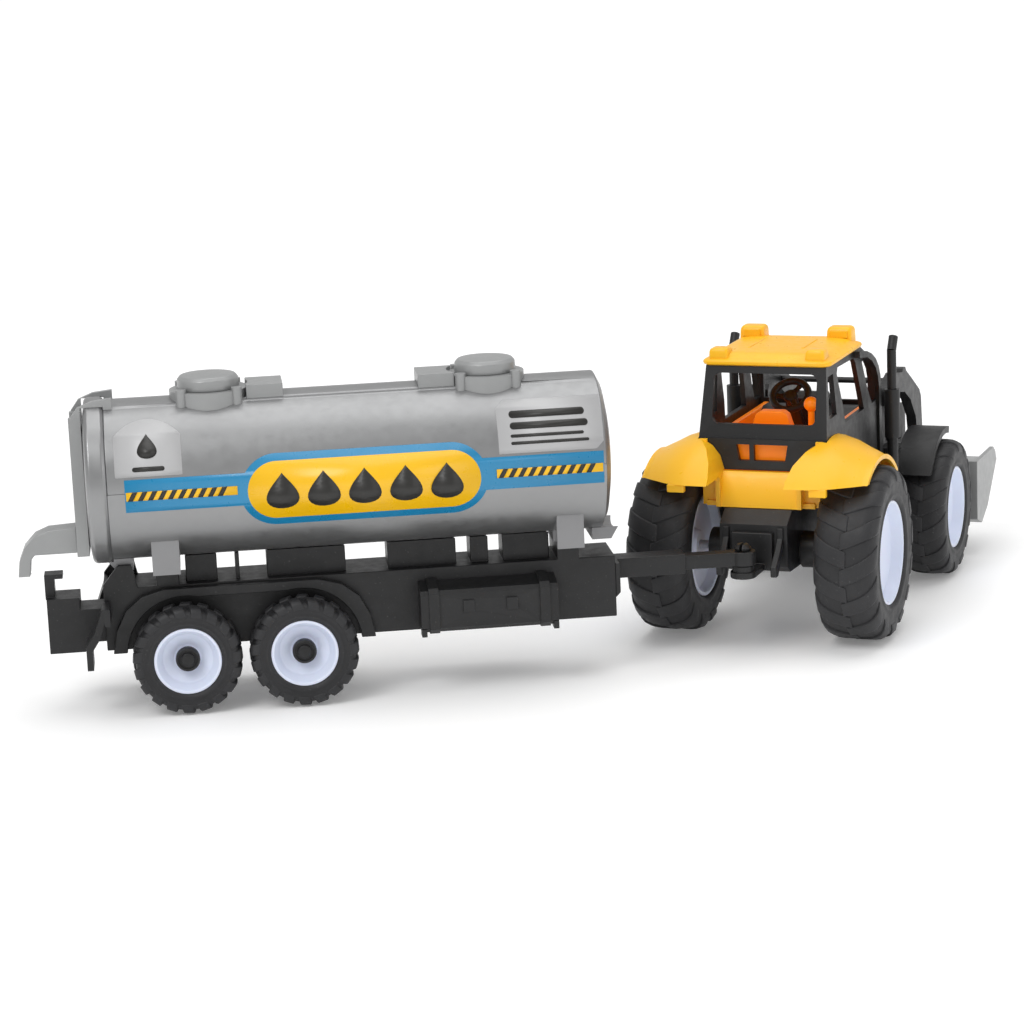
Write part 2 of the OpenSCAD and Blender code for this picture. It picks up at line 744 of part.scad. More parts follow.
// Window openings: back, windscreen, the vents under the back window and both sides.
module cab_windows() {
  cross_plate(-20, 0) translate([0, 104.6]) rounded(46, 21.4, 3);
  cross_plate(-20, -6) polygon([[-11.5, 85.6], [3.6, 85.6], [3.6, 78.6], [-10.2, 78.6]]);
  cross_plate(-20, -6) polygon([[5.6, 85.6], [11.5, 85.6], [10.2, 78.6], [5.6, 78.6]]);
  box([56, 90], [-24.4, 24.4], [89.6, 117]);
  side_plate(-40, 40) union() {
    polygon([[-2.4, 96], [-0.4, 114], [8.4, 114], [9.6, 96]]);
    polygon([[22.6, 90], [20.4, 99], [16.4, 108], [14.6, 113], [16.6, 115.4], [43.4, 114.8],
      [46, 112.6], [52, 98], [55, 90]]);
    polygon([[69, 90], [63.4, 98], [57.4, 110.4], [59, 112], [64.4, 111.4], [70, 108.8],
      [74.8, 104.8], [77, 99.6], [77.4, 90]]);
  }
}

module roof() {
  color(yellow) on_tractor() {
    hull() {
      box([-3, 55.4], [-28.9, 28.9], [roof_z, roof_z + 1.6]);
      box([0.5, 53], [-26, 26], [roof_z + 4.1, roof_z + 4.2]);
      box([8, 46], [-19, 19], [roof_z + 5.2, roof_z + 5.3]);
    }
    both_sides() {
      box([46, 54], [14.6, 25.2], [roof_z + 3, roof_z + 9.6]);
      box([-0.6, 7], [17.6, 25.4], [roof_z + 3, roof_z + 7.2]);
    }
  }
}

module hood() {
  color(black) on_tractor() difference() {
    cross_plate(79.6, 150) polygon([[-24, 55.2], [24, 55.2], [24, 75], [22.6, 80], [18, 85.6],
      [8, 88], [-8, 88], [-18, 85.6], [-22.6, 80], [-24, 75]]);
    intersection() {
      cross_plate(79, 148) polygon([[-22, 50], [22, 50], [22, 74.4], [20.8, 79], [17, 83.6],
        [8, 86], [-8, 86], [-17, 83.6], [-20.8, 79], [-22, 74.4]]);
      side_plate(-30, 30) polygon([[78, 50], [149, 50], [149, 73.2], [78, 86.2]]);
    }
    side_plate(-30, 30) polygon([[79, 88.2], [152, 74.8], [152, 95], [79, 95]]);
    both_sides() for (z = [60 : 4 : 68]) box([112, 140], [20, 30], [z, z + 1.6]);
  }
}

module grille() {
  color(black) on_tractor() difference() {
    box([150, 152], [-17, 17], [57, 73]);
    for (z = [59 : 3 : 70]) box([149, 151], [-15, 15], [z, z + 1.4]);
  }
}

module headlights() {
  color([0.85, 0.87, 0.90]) on_tractor() both_sides()
    translate([150, 20.4, 68.6]) rotate([0, 90, 0]) cylinder(r = 2.9, h = 1.6);
}

module exhaust_stacks() {
  color(black) on_tractor() both_sides() {
    translate([stack_x, stack_y, 52]) cylinder(r = 2.5, h = 22);
    translate([stack_x, stack_y, 74]) cylinder(r = 3.5, h = 22);
    translate([stack_x, stack_y, 96]) cylinder(r = 2.1, h = 18);
    translate([stack_x, stack_y, 113.4]) rotate([0, 34, 0]) cylinder(r = 2.1, h = 7);
  }
}

// Steps between the axles carry the exhaust stacks.
module side_steps() {
  color(black) on_tractor() both_sides() {
    box([40, 79], [15, 40.5], [46, 52]);
    box([44, 76], [15, 20], [40, 46]);
  }
}

module front_fenders() {
  color(black) on_tractor() both_sides() {
    difference() {
      rod_y(wheelbase, front_tyre_r, 37.6, 33, 50);
      rod_y(wheelbase, front_tyre_r, 35.4, 32, 47);
      rod_y(wheelbase, front_tyre_r, 34.4, 46.5, 60);
      box([60, 180], [30, 60], [-10, front_tyre_r + 21]);
      side_plate(30, 60) polygon([[wheelbase, 30], [wheelbase + 60, 30], [wheelbase + 60, 90],
        [wheelbase + 13, 90]]);
    }
    box([97, 109], [24.4, 33.6], [60.2, 63.6]);
  }
}

// ---------- loader ----------

module loader_masts() {
  color(black) on_tractor() both_sides() side_plate(24.1, 26.9)
    polygon([[80, 30], [96, 30], [96, 60], [93, arm_pivot_z + 2], [90.5, arm_pivot_z + 4.6],
      [85.5, arm_pivot_z + 4.6], [83, arm_pivot_z + 2], [80, 60]]);
  color(black) on_tractor() both_sides() box([82, 94], [15, 24.1], [32, 44]);
}

module mast_pins() {
  color(black) on_tractor() both_sides() {
    rod_y(arm_pivot_x, arm_pivot_z, pin_r, 26.9, 32.4);
    rod_y(arm_pivot_x, arm_pivot_z, 3.6, 32.4, 33.8);
  }
}

module loader_arms() {
  color(black) on_tractor() both_sides() difference() {
    side_plate(27.3, 32) union() {
      translate([arm_pivot_x, arm_pivot_z]) circle(r = 5);
      translate([bucket_pivot_x, bucket_pivot_z]) circle(r = 4);
      polygon([[arm_pivot_x, arm_pivot_z + 5], [100, 98.4], [113, 96.4], [113.6, 98],
        [118.8, 98], [120.4, 96], [131, 90.6], [146, 82.6], [149, 79], [151.6, 60],
        [155, 30], [147, 27], [142, 58], [138, 71], [128, 81], [117, 86.4], [106, 88.4],
        [arm_pivot_x, arm_pivot_z - 5]]);
    }
    rod_y(arm_pivot_x, arm_pivot_z, pin_r + fit, 20, 40);
    rod_y(bucket_pivot_x, bucket_pivot_z, pin_r + fit, 20, 40);
  }
}

module arm_crossbar() {
  color(black) on_tractor() rod_y(118, 91.2, 1.4, -27.3, 27.3);
}

module bucket() {
  color(light_grey) on_tractor() difference() {
    union() {
      side_plate(-bucket_hw, bucket_hw) bucket_profile();
      both_sides() side_plate(22.6, 26.9) polygon([[bucket_pivot_x - 4, bucket_pivot_z - 2],
        [bucket_pivot_x, bucket_pivot_z - 4], [159, 20], [159, 40],
        [bucket_pivot_x, bucket_pivot_z + 4], [bucket_pivot_x - 4, bucket_pivot_z + 2]]);
      both_sides() rod_y(bucket_pivot_x, bucket_pivot_z, pin_r, 24, 32.6);
    }
    side_plate(-bucket_hw + 2, bucket_hw - 2)
      polygon([[159.6, 60], [159.6, 19.4], [167, 16.6], [178.6, 21.8], [199, 38.6],
        [212, 48], [200, 60]]);
  }
}

module bucket_profile() {
  polygon([[157.2, 46], [194, 46], [198.4, 43], [201, 38.4], [180, 19.6], [167, 14],
    [157.2, 17.6]]);
}

// ---------- tractor wheels ----------

module rear_axle() {
  color(steel) on_tractor() rod_y(0, rear_tyre_r, axle2_r, -46, 46);
}

module rear_tyres() {
  color(black) on_tractor() translate([0, 0, rear_tyre_r]) both_sides()
    bar_tyre(rear_tyre_r, rear_rim_r, tyre_out - rear_tyre_w, tyre_out, 16);
}

module rear_rims() {
  color(lilac) on_tractor() translate([0, 0, rear_tyre_r]) both_sides()
    dished_rim(rear_rim_r, tyre_out - rear_tyre_w + 1, tyre_out - 1.6, 6, axle2_r);
}

module front_axle() {
  color(steel) on_tractor() rod_y(wheelbase, front_tyre_r, axle2_r, -48, 48);
}

module front_tyres() {
  color(black) on_tractor() translate([wheelbase, 0, front_tyre_r]) both_sides()
    bar_tyre(front_tyre_r, front_rim_r, front_tyre_out - front_tyre_w, front_tyre_out, 14);
}

module front_rims() {
  color(lilac) on_tractor() translate([wheelbase, 0, front_tyre_r]) both_sides()
    dished_rim(front_rim_r, front_tyre_out - front_tyre_w + 1, front_tyre_out - 1.4, 5, axle2_r);
}

tank_upper_shell();
tank_lower_shell();
tank_rear_cap();
tank_front_cap();
tank_cradles();
hatch_bases();
hatch_lids();
walkway_pads();
ladder();
outlet_spout();
side_labels();
label_panels();
plate_labels();
tank_screws();
trailer_chassis();
mudguard_left();
mudguard_right();
tool_box_left();
tool_box_right();
mud_flaps();
tow_hook();
drawbar();
trailer_rear_axle();
trailer_rear_tyres();
trailer_rear_rims();
trailer_rear_caps();
trailer_front_axle();
trailer_front_tyres();
trailer_front_rims();
trailer_front_caps();
tractor_chassis();
hitch_plate();
hitch_pin();
linkage_struts();
rear_body();
tail_lamps();
interior_tub();
seat();
dashboard();
steering_column();
steering_wheel();
cab_frame();
roof();
hood();
grille();
headlights();
exhaust_stacks();
side_steps();
front_fenders();
loader_masts();
mast_pins();
rear_axle();
rear_tyres();
rear_rims();
front_axle();
front_tyres();
front_rims();
loader_arms();
arm_crossbar();
bucket();
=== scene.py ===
"""Toy tractor with tanker trailer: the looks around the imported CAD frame."""

import json
import math

import bmesh
import bpy
from mathutils import Matrix, Vector


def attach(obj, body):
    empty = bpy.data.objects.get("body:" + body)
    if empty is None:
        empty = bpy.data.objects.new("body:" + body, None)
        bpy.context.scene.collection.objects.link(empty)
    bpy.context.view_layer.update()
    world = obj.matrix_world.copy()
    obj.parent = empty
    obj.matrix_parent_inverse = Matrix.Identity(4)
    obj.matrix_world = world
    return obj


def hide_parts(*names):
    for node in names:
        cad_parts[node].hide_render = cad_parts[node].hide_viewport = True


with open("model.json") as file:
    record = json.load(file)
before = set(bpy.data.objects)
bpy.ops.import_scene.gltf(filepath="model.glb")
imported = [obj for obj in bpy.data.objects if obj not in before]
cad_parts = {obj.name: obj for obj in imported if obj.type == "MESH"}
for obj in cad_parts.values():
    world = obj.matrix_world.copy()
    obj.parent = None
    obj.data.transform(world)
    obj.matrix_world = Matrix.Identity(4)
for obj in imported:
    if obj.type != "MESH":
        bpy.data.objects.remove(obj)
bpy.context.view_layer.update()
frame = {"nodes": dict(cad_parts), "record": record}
NODES = frame["nodes"]
MM = 0.001

# Where the two vehicles stand in the row frame, in millimetres and degrees.
ORIGIN = (27.53, 103.83)
YAW = 62.5
HITCH_X = 97.5
SETBACK = 42.0
TRAILER = Matrix.Translation((-ORIGIN[0] * MM, -ORIGIN[1] * MM, 0))
TRACTOR = (
    Matrix.Translation(((HITCH_X - ORIGIN[0]) * MM, -ORIGIN[1] * MM, 0))
    @ Matrix.Rotation(math.radians(YAW), 4, "Z")
    @ Matrix.Translation((SETBACK * MM, 0, 0))
)

# Wheel sizes and places, in millimetres. Each wheel's radius is also its axle's height.
TRAILER_AXLES = {"rear": -138.3, "front": -90.6}
TRAILER_WHEEL_R = 22.5
TRAILER_TYRE_MID = 22.5
REAR_WHEEL_R, REAR_RIM_R, REAR_TYRE_OUTER, REAR_TYRE_HALF = 38, 22.7, 55.4, 13.7
FRONT_WHEEL_R, FRONT_RIM_R, FRONT_TYRE_OUTER, FRONT_TYRE_HALF = 31.8, 19.05, 56, 11.25
FRONT_CROWN_HALF = 11.2
WHEELBASE = 121

# The steering wheel's centre on the tractor, and how far its column leans.
WHEEL_CENTRE = (36.5, 0, 98.5)
COLUMN_LEAN = 42

# The barrel's axis height and outer radius.
TANK_Z, TANK_R = 94.3, 33.0

# ---------------------------------------------------------------- materials


class Mat:
    """A node material with a Principled shader and a few procedural helpers."""

    def __init__(self, name, color, rough, **sockets):
        self.mat = bpy.data.materials.new(name)
        self.mat.use_nodes = True
        self.tree = self.mat.node_tree
        self.bsdf = self.tree.nodes["Principled BSDF"]
        self.bsdf.inputs["Base Color"].default_value = (*color, 1)
        self.bsdf.inputs["Roughness"].default_value = rough
        for key, value in sockets.items():
            self.bsdf.inputs[key.replace("_", " ")].default_value = value
        coord = self.node("ShaderNodeTexCoord")
        self.coord = coord.outputs["Object"]

    def node(self, kind, **props):
        made = self.tree.nodes.new(kind)
        for key, value in props.items():
            setattr(made, key, value)
        return made

    def link(self, a, b):
        self.tree.links.new(a, b)

    def noise(self, scale, detail=3.0, rough=0.55):
        tex = self.node("ShaderNodeTexNoise")
        tex.inputs["Scale"].default_value = scale
        tex.inputs["Detail"].default_value = detail
        tex.inputs["Roughness"].default_value = rough
        self.link(self.coord, tex.inputs["Vector"])
        return tex.outputs["Fac"]

    def ramp(self, fac, stops):
        """A colour ramp with two (place, colour) stops."""
        ramp = self.node("ShaderNodeValToRGB")
        for element, (place, color) in zip(ramp.color_ramp.elements, stops):
            element.position = place
            element.color = (*color, 1)
        self.link(fac, ramp.inputs["Fac"])
        return ramp.outputs["Color"]

    def mix(self, mask, under, color):
        """A plain colour laid over another node's colour, by a mask."""
        mix = self.node("ShaderNodeMix", data_type="RGBA")
        factor, first, second, result = mix.inputs[0], mix.inputs[6], mix.inputs[7], mix.outputs[2]
        self.link(mask, factor)
        self.link(under, first)
        second.default_value = (*color, 1)
        return result

    def span(self, value, low, high, to_low, to_high):
        node = self.node("ShaderNodeMapRange")
        node.inputs["From Min"].default_value = low
        node.inputs["From Max"].default_value = high
        node.inputs["To Min"].default_value = to_low
        node.inputs["To Max"].default_value = to_high
        self.link(value, node.inputs["Value"])
        return node.outputs["Result"]

    def color(self, socket):
        self.link(socket, self.bsdf.inputs["Base Color"])

    def rough(self, socket):
        self.link(socket, self.bsdf.inputs["Roughness"])

    def bump(self, height, strength, distance):
        bump = self.node("ShaderNodeBump")
        bump.inputs["Strength"].default_value = strength
        bump.inputs["Distance"].default_value = distance
        self.link(height, bump.inputs["Height"])
        self.link(bump.outputs["Normal"], self.bsdf.inputs["Normal"])


def shade(color, k):
    """A colour made k times as bright, at most white."""
    return tuple(min(1.0, c * k) for c in color)


def moulded(name, color, rough, grain=2200, vary=0.06, bump=0.12, dust=0.0, edge=0.0, **sockets):
    """Injection-moulded plastic: flow variation, fine grain, lighter sharp edges and a little
    dust.
    """
    m = Mat(name, color, rough, **sockets)
    cloud = m.noise(38, 4)
    tone = m.ramp(cloud, [(0.32, shade(color, 1 - vary)), (0.68, shade(color, 1 + vary))])
    # Lighter colour along sharp convex edges, by pointiness.
    if edge:
        edge_sharpness = m.node("ShaderNodeNewGeometry").outputs["Pointiness"]
        mask = m.span(edge_sharpness, 0.515, 0.56, 0.0, edge)
        tone = m.mix(mask, tone, shade(color, 2.2))
    if dust:
        specks = m.noise(900, 2, 0.7)
        mask = m.span(specks, 0.66, 0.8, 0.0, dust)
        tone = m.mix(mask, tone, (0.5, 0.49, 0.47))
    m.color(tone)
    m.rough(m.span(m.noise(260, 3), 0.3, 0.7, rough - 0.05, rough + 0.07))
    m.bump(m.noise(grain, 2, 0.6), bump, 0.0003)
    return m.mat


BLACK = (0.0105, 0.0105, 0.011)
MATS = {
    "silver_plastic": moulded("silver", (0.3, 0.302, 0.305), 0.36, 1500, 0.02, 0.02,
                              Metallic=0.75),
    "grey_plastic": moulded("grey", (0.31, 0.315, 0.315), 0.36, 1500, 0.035, 0.07, Metallic=0.25),
    "cradle_grey_plastic": moulded("cradle_grey", (0.24, 0.24, 0.245), 0.5, 1700, 0.04, 0.08),
    "black_plastic": moulded("black", BLACK, 0.42, 2400, 0.12, 0.16, 0.1, 0.3,
                             Specular_IOR_Level=0.4),
    "yellow_plastic": moulded("yellow", (1.0, 0.50, 0.012), 0.32, 1200, 0.02, 0.03,
                              Subsurface_Weight=0.08, Specular_IOR_Level=0.4),
    # The orange plastic carries a painted glow: an orange emission that brightens it in the cab's
    # shade, though it is no lamp.
    "orange_plastic": moulded("orange", (1.0, 0.24, 0.004), 0.36, 1200, 0.02, 0.04,
                              Subsurface_Weight=0.08, Specular_IOR_Level=0.4,
                              Emission_Color=(1.0, 0.22, 0.0, 1), Emission_Strength=0.2),
    "rim_plastic": moulded("rim", (0.76, 0.79, 0.93), 0.34, 1300, 0.02, 0.04,
                           Subsurface_Weight=0.08),
    "tyre": moulded("tyre_rubber", (0.021, 0.021, 0.0225), 0.5, 1900, 0.15, 0.25, 0.12, 0.3,
                    Specular_IOR_Level=0.35),
    "steel": moulded("drawn_steel", (0.5, 0.51, 0.52), 0.28, 900, 0.05, 0.1, Metallic=1.0),
    "lamp_plastic": moulded("lamp", (0.7, 0.73, 0.75), 0.12, 900, 0.02, 0.02, Coat_Weight=0.8),
}


def foil(name, color, rough=0.3):
    """A printed, slightly glossy sticker."""
    return moulded(name, color, rough, 1400, 0.03, 0.03, Coat_Weight=0.15, Coat_Roughness=0.2)


MATS["blue_foil"] = foil("blue_foil", (0.014, 0.235, 0.46))
MATS["yellow_foil"] = foil("yellow_foil", (0.93, 0.52, 0.002))
MATS["silver_foil"] = foil("silver_foil", (0.46, 0.46, 0.465), 0.4)
MATS["black_print"] = foil("black_print", (0.014, 0.013, 0.011), 0.45)

# The moulded radius on each node's edges in millimetres, where it isn't SOFT_EDGE_DEFAULT.
SOFT_EDGE_DEFAULT = 0.4
SOFT_EDGE = {
    "roof": 1.1, "rear_body": 0.7, "seat": 1.2, "interior_tub": 0.5, "hatch_lids": 0.35,
    "hatch_bases": 0.5, "walkway_pads": 0.7, "tank_rear_cap": 0.5, "tank_front_cap": 0.4,
    "outlet_spout": 0.8, "ladder": 0.6, "cab_frame": 0.5, "steering_wheel": 0.2,
    "front_fenders": 0.6, "hood": 0.8, "mud_flaps": 0.5, "linkage_struts": 0.5,
    "exhaust_stacks": 0.3, "tail_lamps": 0.5, "bucket": 0.5, "hitch_pin": 0.3,
    "side_labels": 0, "label_panels": 0, "plate_labels": 0,
}

# Nodes whose flat faces aren't merged, because the bevel folds on the merged ones.
KEEP_TRIANGLES = {
    "cab_frame", "hood", "trailer_chassis", "interior_tub", "rear_body", "tank_upper_shell",
    "tank_lower_shell", "front_fenders", "tractor_chassis", "loader_arms",
}


def soften(obj, width, weld=True, angle=32):
    """Merged corners and a small moulded radius on every sharp edge, as modifiers."""
    if weld:
        merge = obj.modifiers.new("weld", "WELD")
        merge.merge_threshold = 0.000004
        if obj.name not in KEEP_TRIANGLES:
            flat = obj.modifiers.new("flat", "DECIMATE")
            flat.decimate_type = "DISSOLVE"
            flat.angle_limit = math.radians(0.6)
    if width:
        bevel = obj.modifiers.new("edge", "BEVEL")
        bevel.width = width * MM
        bevel.segments = 3
        bevel.limit_method = "ANGLE"
        bevel.angle_limit = math.radians(angle)
        bevel.miter_outer = "MITER_ARC"
        bevel.harden_normals = True
    for polygon in obj.data.polygons:
        polygon.use_smooth = True


for row in frame["record"]["subparts"]:
    node = NODES[row["node"]]
    node.data.materials.clear()
    node.data.materials.append(MATS[row["material_slot"]])
    if "custom_normal" in node.data.attributes:
        node.data.attributes.remove(node.data.attributes["custom_normal"])
    soften(node, SOFT_EDGE.get(row["node"], SOFT_EDGE_DEFAULT))

# ---------------------------------------------------------------- mesh helpers


def piece(name, bm, mat, body, nodes=(), place=None, edge=0.0, angle=32):
    """A new object from bmesh data in millimetres, put in place and riding on its body."""
    mesh = bpy.data.meshes.new(name)
    bmesh.ops.recalc_face_normals(bm, faces=bm.faces)
    bm.to_mesh(mesh)
    bm.free()
    mesh.transform(Matrix.Scale(MM, 4))
    if place:
        mesh.transform(place)
    mesh.materials.append(MATS[mat])
    made = bpy.data.objects.new(name, mesh)
    bpy.context.scene.collection.objects.link(made)
    soften(made, edge, False, angle)
    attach(made, body)
    if nodes:
        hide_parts(*nodes)
    return made


def skin(bm, rings, closed=True, caps=False):
    """Quads between rings of points; closed joins the last ring to the first."""
    rows = [[bm.verts.new(p) for p in ring] for ring in rings]
    pairs = list(zip(rows, rows[1:])) + ([(rows[-1], rows[0])] if closed else [])
    for a, b in pairs:
        for i in range(len(a)):
            j = (i + 1) % len(a)
            bm.faces.new((a[i], a[j], b[j], b[i]))
    if caps:
        bm.faces.new(rows[0][::-1])
        bm.faces.new(rows[-1])


def turns(count):
    """Angles of count equal steps round a circle."""
    return [2 * math.pi * k / count for k in range(count)]


def copy_into(bm, verts, faces, place):
    """A copy of a mesh, given as points and faces, at a place."""
    made = [bm.verts.new(place @ v) for v in verts]
    for face in faces:
        bm.faces.new([made[i] for i in face])


# ---------------------------------------------------------------- tyres


def carcass(bm, x, z, side, profile, steps):
    """Turned tyre body: a closed profile of (radius, offset) about the axle line."""
    skin(bm, [[(x + r * math.cos(a), side * y, z + r * math.sin(a)) for r, y in profile]
              for a in turns(steps)])


def lug_mesh(top, base, width, skew, taper, soft):
    """One lug along stations of (radius, offset), swept by skew degrees, with soft edges."""
    bm = bmesh.new()
    rings = []
    last = len(top) - 1
    foot = 0.5  # how much wider the lug is on each side where it meets the carcass
    for k, ((rt, yt), (rb, yb)) in enumerate(zip(top, base)):
        share = k / last
        a = math.radians(skew) * (1 - share)
        half = width / 2 * (1 + taper * share)
        ring = []
        for r, y, w, order in ((rb, yb, half + foot, (-1, 1)), (rt, yt, half, (1, -1))):
            for s in order:
                b = a + s * w / r
                ring.append((r * math.cos(b), y, r * math.sin(b)))
        rings.append(ring)
    skin(bm, rings, closed=False, caps=True)
    bmesh.ops.recalc_face_normals(bm, faces=bm.faces)
    sharp = [e for e in bm.edges if len(e.link_faces) == 2 and e.calc_face_angle() > 0.6]
    bmesh.ops.bevel(bm, geom=sharp, offset=soft, segments=2, profile=0.6, affect="EDGES",
                    clamp_overlap=True)
    bm.verts.index_update()
    verts = [v.co.copy() for v in bm.verts]
    faces = [[v.index for v in f.verts] for f in bm.faces]
    bm.free()
    return verts, faces


def tyre(bm, x, z, side, mid, crown, lug, count, steps=144):
    """A whole tyre: turned carcass plus lugs on both halves of the tread, in alternation."""
    profile = [(r, mid + y) for r, y in crown] + [(r, mid - y) for r, y in crown[::-1][1:]]
    carcass(bm, x, z, side, profile, steps)
    verts, faces = lug_mesh(**lug)
    for i in range(count):
        for j, hand in enumerate((1, -1)):
            turn = Matrix.Rotation(-2 * math.pi * (i + j * 0.5) / count, 4, "Y")
            flip = Matrix.Diagonal((1, side * hand, 1, 1))
            at = Matrix.Translation((x, side * mid, z))
            order = faces if side * hand > 0 else [f[::-1] for f in faces]
            copy_into(bm, verts, order, at @ flip @ turn)


def trailer_tyres():
    """Four small tyres with square shoulder blocks."""
    crown = [(13.85, 6.6), (14.9, 7.05), (15.3, 7.35), (15.9, 7.35), (16.2, 7.1), (17.4, 7.2),
             (18.6, 7.25), (19.8, 6.9), (20.7, 6.0), (21.1, 4.6), (21.3, 2.4), (21.3, 0.0)]
    lug = dict(
        top=[(22.3, 0.5), (22.5, 2.6), (22.45, 4.6), (22.1, 6.0), (21.2, 7.0), (20.0, 7.45),
             (18.7, 7.5)],
        base=[(20.6, 0.5), (20.6, 2.4), (20.4, 4.2), (20.0, 5.2), (19.5, 6.0), (18.9, 6.5),
              (18.2, 6.8)],
        width=4.0, skew=5.0, taper=0.12, soft=0.35)
    for name, x in TRAILER_AXLES.items():
        bm = bmesh.new()
        for side in (-1, 1):
            tyre(bm, x, TRAILER_WHEEL_R, side, TRAILER_TYRE_MID, crown, lug, 19)
        piece(f"trailer_{name}_tyre_pair", bm, "tyre", f"trailer_{name}_wheels",
              [f"trailer_{name}_tyres"], TRAILER)


def tractor_tyres():
    """Big balloon tyres with broad, shallow bars that slant back from the shoulders."""
    crown = [(22.7, 12.0), (23.8, 12.9), (24.6, 13.3), (25.6, 13.3), (26.2, 13.0), (28.0, 13.3),
             (30.5, 13.4), (33.0, 13.1), (35.0, 12.1), (36.3, 10.2), (37.0, 7.4), (37.25, 4.0),
             (37.3, 0.0)]
    top = [(38.0, -1.4), (38.0, 3.0), (37.9, 6.6), (37.5, 9.4), (36.6, 11.6), (35.0, 13.1),
           (33.0, 13.7), (31.0, 13.7)]
    base = [(36.0, -1.4), (36.0, 3.0), (35.8, 6.2), (35.2, 8.6), (34.4, 10.4), (33.2, 11.8),
            (31.8, 12.6), (30.4, 12.9)]
    lug = dict(width=7.2, skew=17, taper=0.1, soft=0.55)
    bm = bmesh.new()
    for side in (-1, 1):
        tyre(bm, 0, REAR_WHEEL_R, side, REAR_TYRE_OUTER - REAR_TYRE_HALF, crown,
             dict(lug, top=top, base=base), 15)
    piece("rear_tyre_pair", bm, "tyre", "tractor_rear_wheels", ["rear_tyres"], TRACTOR)

    # The front tyres are the rear ones made smaller about the rim.
    kr = (FRONT_WHEEL_R - FRONT_RIM_R) / (REAR_WHEEL_R - REAR_RIM_R)
    ky = FRONT_CROWN_HALF / REAR_TYRE_HALF
    crown, top, base = ([(FRONT_RIM_R + (r - REAR_RIM_R) * kr, y * ky) for r, y in row]
                        for row in (crown, top, base))
    bm = bmesh.new()
    for side in (-1, 1):
        tyre(bm, WHEELBASE, FRONT_WHEEL_R, side, FRONT_TYRE_OUTER - FRONT_TYRE_HALF, crown,
             dict(lug, top=top, base=base, width=6.6), 14)
    piece("front_tyre_pair", bm, "tyre", "tractor_front_wheels", ["front_tyres"], TRACTOR)


def hub_caps():
    """Stepped caps over the ends of the trailer's axles."""
    profile = [(4.9, 23.2), (5.0, 26.2), (4.7, 26.8), (3.9, 26.8), (3.7, 26.2), (3.0, 26.2),
               (2.8, 27.0), (2.3, 27.3), (0.8, 27.4)]
    for name, x in TRAILER_AXLES.items():
        bm = bmesh.new()
        for side in (-1, 1):
            skin(bm, [[(x + r * math.cos(a), side * y, TRAILER_WHEEL_R + r * math.sin(a))
                       for a in turns(40)] for r, y in profile], closed=False, caps=True)
        piece(f"trailer_{name}_hub_caps", bm, "black_plastic",
              f"trailer_{name}_wheels", [f"trailer_{name}_caps"], TRAILER, 0.12, 30)


trailer_tyres()
tractor_tyres()
hub_caps()

# ---------------------------------------------------------------- roof and cab fittings


def rounded_ring(cx, cy, hx, hy, r, z, n=7):
    """Corner-rounded rectangle at height z: centre, half sizes and corner radius."""
    ring = []
    for k, (sx, sy) in enumerate(((1, 1), (-1, 1), (-1, -1), (1, -1))):
        for i in range(n):
            a = math.radians(90 * k + 90 * i / (n - 1))
            ring.append((cx + sx * (hx - r) + r * math.cos(a),
                         cy + sy * (hy - r) + r * math.sin(a), z))
    return ring


def loft(bm, rings):
    """A closed solid through corner-rounded rectangles, from the lowest up."""
    skin(bm, [rounded_ring(*ring) for ring in rings], closed=False, caps=True)


def roof_shell():
    """Moulded roof with a brim, a crowned middle and four lamp housings."""
    bm = bmesh.new()
    z = 118.4
    loft(bm, [(26.2, 0, 28.0, 27.7, 3.6, z), (26.2, 0, 29.0, 28.7, 4.4, z + 0.5),
              (26.2, 0, 29.2, 28.9, 4.6, z + 1.2), (26.2, 0, 29.1, 28.8, 4.6, z + 1.9),
              (26.2, 0, 28.4, 28.1, 4.4, z + 2.4), (26.2, 0, 27.2, 26.9, 4.2, z + 2.8),
              (26.4, 0, 26.2, 26.0, 4.0, z + 3.3), (26.6, 0, 25.2, 25.0, 4.0, z + 4.2),
              (26.8, 0, 23.8, 23.6, 4.0, z + 4.8), (27.0, 0, 21.4, 21.2, 5.0, z + 5.1),
              (27.2, 0, 16.0, 16.0, 6.0, z + 5.35), (27.2, 0, 8.0, 8.0, 5.0, z + 5.45)])
    for side in (-1, 1):
        front, back = side * 19.9, side * 21.5
        loft(bm, [(50, front, 4.6, 5.7, 1.2, z + 2.6), (50, front, 4.4, 5.5, 1.2, z + 7.6),
                  (50, front, 4.1, 5.2, 1.4, z + 8.8), (50, front, 3.4, 4.5, 1.4, z + 9.5),
                  (50, front, 2.4, 3.4, 1.2, z + 9.6)])
        loft(bm, [(45.3, front, 0.7, 4.0, 0.3, z + 5.0), (45.3, front, 0.6, 3.9, 0.3, z + 8.2)])
        loft(bm, [(3.4, back, 4.3, 4.4, 1.2, z + 2.2), (3.3, back, 4.1, 4.2, 1.2, z + 5.8),
                  (3.3, back, 3.6, 3.8, 1.2, z + 6.8), (3.3, back, 2.6, 2.8, 1.0, z + 7.2)])
        rib = side * 12
        loft(bm, [(26, rib, 12, 0.8, 0.5, z + 5.0), (26, rib, 11.6, 0.5, 0.4, z + 5.75)])
    piece("roof_shell", bm, "yellow_plastic", "tractor", ["roof"], TRACTOR,
          0.25, 40)


